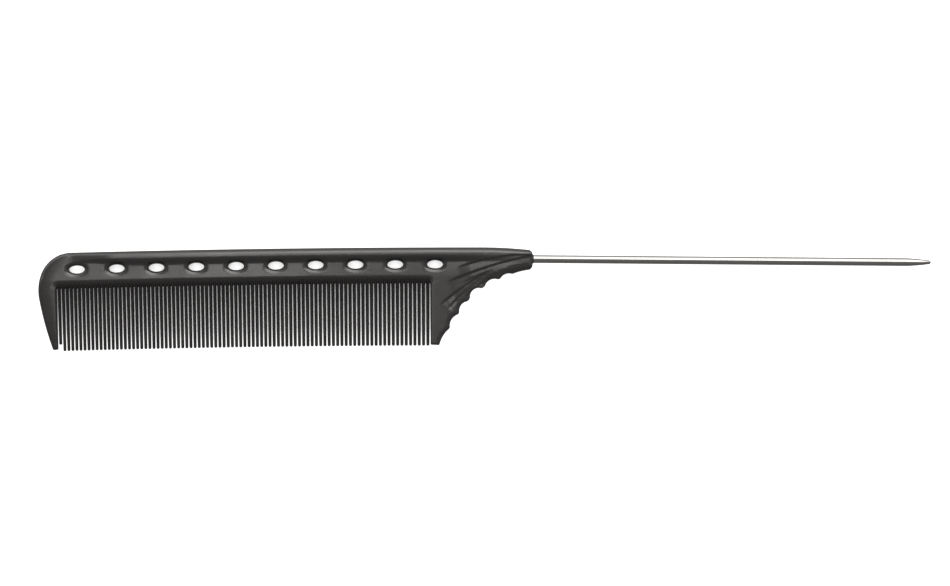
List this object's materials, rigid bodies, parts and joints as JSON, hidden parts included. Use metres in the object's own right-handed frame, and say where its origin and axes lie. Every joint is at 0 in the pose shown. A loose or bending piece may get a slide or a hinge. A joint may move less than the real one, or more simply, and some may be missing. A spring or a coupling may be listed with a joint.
{
  "type": "rat tail comb",
  "caption": "Fine-toothed parting comb with a row of oval guide holes along its spine, a fluted neck and a long slim steel tail pin.",
  "frame": {"origin": "middle of the bottom of the whole comb's box, with the comb lying flat", "axes": "+X along the tail pin towards its tip, +Y from the teeth to the spine, +Z through the thickness"},
  "size_m": [0.224, 0.027, 0.0046],
  "materials": {
    "comb_plastic": "satin moulded charcoal black, heat-resistant filled plastic",
    "tail_steel": "smooth drawn stainless steel, fine lengthwise lines"
  },
  "bodies": {
    "root": {"comb_frame": "comb_plastic", "comb_teeth": "comb_plastic", "tail_pin": "tail_steel"}
  },
  "joints": []
}
